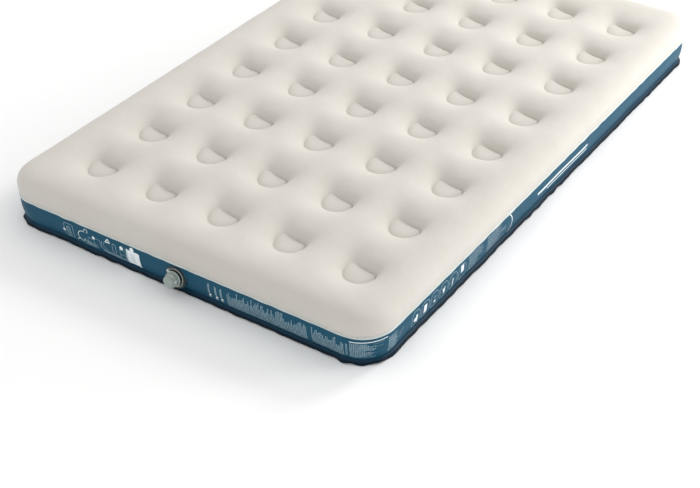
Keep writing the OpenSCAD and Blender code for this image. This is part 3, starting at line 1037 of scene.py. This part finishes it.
def rib_tree():
    """Rounded grip ribs spaced round a circle."""
    kinds = {"Count": "Int", "Radius": "Float", "Rib_radius": "Float", "Length": "Float"}
    tree, start = new_tree("grip_ribs", **kinds, Plastic="Material")
    circle = {"Vertices": start["Count"], "Radius": start["Radius"]}
    ring = add_node(tree, "GeometryNodeMeshCircle", circle)
    stick = {"Radius": start["Rib radius"], "Depth": start["Length"]}
    rib = add_node(tree, "GeometryNodeMeshCylinder", stick, Vertices=12)
    return end_tree(tree, ring, rib, start["Plastic"])


RIBS = rib_tree()


def grip_ribs(count, radius, rib_radius, low, high, material):
    values = {"Count": count, "Radius": radius * MM, "Rib radius": rib_radius * MM}
    values |= {"Length": (high - low) * MM, "Plastic": material}
    co, faces = grown(RIBS, values)
    co[:, 2] += (low + high) / 2 * MM
    return placed(co), faces


def strap(angle, from_r, turn_r, low, high, width, thick):
    """Flat strap that leaves one ring, bends back and reaches the next one."""
    bend = (high - low) / 2
    line = [(from_r + (turn_r - from_r) * k, low) for k in np.linspace(0, 1, 6)]
    for a in np.radians(np.linspace(-75, 75, 11)):
        line.append((turn_r + bend * math.cos(a), low + bend + bend * math.sin(a)))
    line += [(turn_r + (from_r + 1 - turn_r) * k, high) for k in np.linspace(0, 1, 6)]
    line = np.array(line)
    along = np.gradient(line, axis=0)
    along /= np.linalg.norm(along, axis=1)[:, None]
    side = np.stack([along[:, 1], -along[:, 0]], -1)
    section = [
        (-0.5, -0.3), (-0.47, -0.45), (-0.4, -0.5), (0.4, -0.5), (0.47, -0.45), (0.5, -0.3),
        (0.5, 0.3), (0.47, 0.45), (0.4, 0.5), (-0.4, 0.5), (-0.47, 0.45), (-0.5, 0.3),
    ]
    co = []
    for across, up in section:
        flat = line + side * (up * thick)
        co.append(np.column_stack([flat[:, 0], np.full(len(line), across * width), flat[:, 1]]))
    co = np.array(co)
    rows, steps = co.shape[:2]
    faces = []
    for r in range(rows):
        now, after = r * steps, (r + 1) % rows * steps
        faces += [(now + i, now + i + 1, after + i + 1, after + i) for i in range(steps - 1)]
    faces.append(tuple(r * steps for r in range(rows)))
    faces.append(tuple(r * steps + steps - 1 for r in reversed(range(rows))))
    co = co.reshape(-1, 3)
    c, s = math.cos(math.radians(angle)), math.sin(math.radians(angle))
    co = np.column_stack([co[:, 0] * c - co[:, 1] * s, co[:, 0] * s + co[:, 1] * c, co[:, 2]])
    return placed(co * MM), faces


def joined(*parts):
    co, faces, base = [], [], 0
    for points, some in parts:
        co.append(points)
        faces += [tuple(i + base for i in f) for f in some]
        base += len(points)
    return np.concatenate(co), faces


def valve_piece(name, part, material, body, slot_name, *nodes):
    piece = make_piece(name, *part, MATERIALS[material])
    piece.data.set_sharp_from_angle(angle=math.radians(50))
    if body:
        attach(piece, body)
    if nodes:
        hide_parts(*nodes)
    return piece


def build_valve():
    light, dark = "valve_light", "valve_dark"
    collar = turned([(15.8, -9), (33.4, -7.5), (32.4, -2.5), (30.6, -0.1), (15.8, -0.1)], 1.2)
    valve_piece("valve_collar", collar, "collar", "mattress", "patch_pvc", "valve_patch")
    base = [
        (12.6, -12), (15.6, -12), (15.6, 0), (30, 0), (29.6, 2.6), (28.8, 3.3),
        (27.8, 3.3), (27.2, 2.6), (17, 2.3), (15.6, 3.2), (15.6, 16), (12.6, 16),
    ]
    valve_piece("valve_base_plate", turned(base, 0.5), dark, "mattress", "valve_dark", "valve_base")
    bead = turned(box_ring(24.4, 25.8, 2.4, 4.0), 0.5)
    valve_piece("valve_base_bead", bead, "tether", "mattress", "valve_light")
    ring = turned(box_ring(15.7, 22.6, 4, 7), 0.8)
    valve_piece("insert_tether_collar", ring, dark, "mattress", "tether", "insert_tether")
    loop = valve_piece(
        "insert_tether_strap", strap(135, 21, 26.5, 5.5, 10.4, 8, 1.6), "tether", None, "tether"
    )
    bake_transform(loop)
    ring = turned(box_ring(18.35, 22, 9.2, 11.6), 0.6)
    valve_piece("insert_tether_loop", ring, "tether", "insert_ring", "tether", "insert_tether_ring")
    insert = [
        (10.4, 2.4), (12, 2.4), (12, 17.2), (16.1, 17.2), (16.1, 8), (19, 8), (19, 8.8), (18, 9.1),
        (18, 12.2), (19.8, 12.6), (19.8, 20.2), (18.6, 21), (12, 21), (12, 30), (9.5, 30), (9.5, 17.2),
        (10.4, 17.2),
    ]
    ribs = grip_ribs(24, 19.35, 1.05, 12.9, 20.4, MATERIALS[light])
    body = joined(turned(insert, 0.35), ribs)
    valve_piece("insert_body", body, light, "insert", "valve_light", "valve_insert")
    ring = turned(box_ring(12, 17, 21, 22.6), 0.4)
    valve_piece("cap_tether_collar", ring, "tether", "insert", "tether", "cap_tether")
    loop = valve_piece(
        "cap_tether_strap", strap(15, 15.4, 20.2, 21.8, 25.4, 6, 1.2), "tether", None, "tether"
    )
    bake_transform(loop)
    ring = turned(box_ring(14.95, 16.7, 24.4, 26.4), 0.5)
    valve_piece("cap_tether_loop", ring, "tether", "cap_ring", "tether", "cap_tether_ring")
    cap = [
        (0.01, 31.5), (12.5, 31.5), (12.5, 23.4), (15.3, 23.4), (15.3, 24), (14.6, 24.2), (14.6, 26.7),
        (16, 27), (16, 31.2), (15, 32.3), (11.8, 32.3), (11.4, 34), (7, 34), (6.4, 33), (0.01, 33),
    ]
    ribs = grip_ribs(20, 15.65, 0.85, 27.2, 31.3, MATERIALS[light])
    body = joined(turned(cap, 0.35), ribs)
    valve_piece("cap_body", body, light, "cap", "valve_light", "valve_cap")


# ---------------------------------------------------------------- CAD nodes that stay


def dress_cad():
    looks = dict.fromkeys(("insert_gasket", "cap_gasket", "check_flap"), "rubber")
    looks["flap_seat"] = "valve_light"
    looks |= {f"tie_row_{r}": "tie" for r in range(1, ROWS + 1)}
    for name, look in looks.items():
        node = frame["nodes"][name]
        node.data.materials.clear()
        node.data.materials.append(MATERIALS[look])


# ---------------------------------------------------------------- stage


def floor_material():
    """Matt white studio paper."""
    material, tree, shader, place = new_material("studio_paper")
    tree.links.new(mottled(tree, place, "#f6f6f6", "#f8f8f8", 2.0), shader.inputs["Base Color"])
    set_values(shader, Roughness=0.9, Specular_IOR_Level=0.1)
    return material


def area_light(name, place, aim, size, power, colour):
    lamp = bpy.data.lights.new(name, "AREA")
    lamp.shape = "DISK"
    lamp.size = size
    lamp.energy = power
    lamp.color = linear(colour)[:3]
    thing = add_object(name, lamp)
    thing.location = place
    thing.rotation_mode = "QUATERNION"
    thing.rotation_quaternion = (Vector(aim) - Vector(place)).to_track_quat("-Z", "Y")


def build_stage():
    size = 14.0
    corners = [(-size, -size, 0), (size, -size, 0), (size, size, 0), (-size, size, 0)]
    floor = make_piece("floor", corners, [(0, 1, 2, 3)], floor_material(), flat=True)
    world = bpy.data.worlds.new("studio")
    world.use_nodes = True
    sky = world.node_tree.nodes["Background"]
    set_values(sky, Color=linear("#ffffff"), Strength=0.92)
    scene = bpy.context.scene
    scene.world = world
    scene.view_settings.view_transform = "Standard"
    area_light("key", (1.7, 3.7, 2.9), (0.0, 0.1, 0.1), 1.5, 95, "#fffdfa")
    area_light("side", (3.4, 1.9, 1.2), (0.5, 0.1, 0.1), 1.6, 60, "#ffffff")


def build_camera():
    camera = bpy.data.cameras.new("camera")
    camera.sensor_width = 36
    camera.lens = 72.8
    camera.clip_end = 60
    place = (1.98837, -3.09391, 2.24956)
    right = (0.83102, 0.55619, -0.00766)
    up = (-0.32230, 0.49269, 0.80832)
    back = (0.45335, -0.66926, 0.58869)
    turn = Matrix((right, up, back)).transposed()
    thing = add_object("camera", camera)
    thing.matrix_world = Matrix.Translation(place) @ turn.to_4x4()
    bpy.context.scene.camera = thing


# ---------------------------------------------------------------- build

build_top()
band = build_band()
lip = build_lip()
flange = build_flange()
build_bottom()
prints = build_print()
# Flat, the strip is as wide as its arc and the part over the flange together
build_valve()
dress_cad()
build_stage()
build_camera()
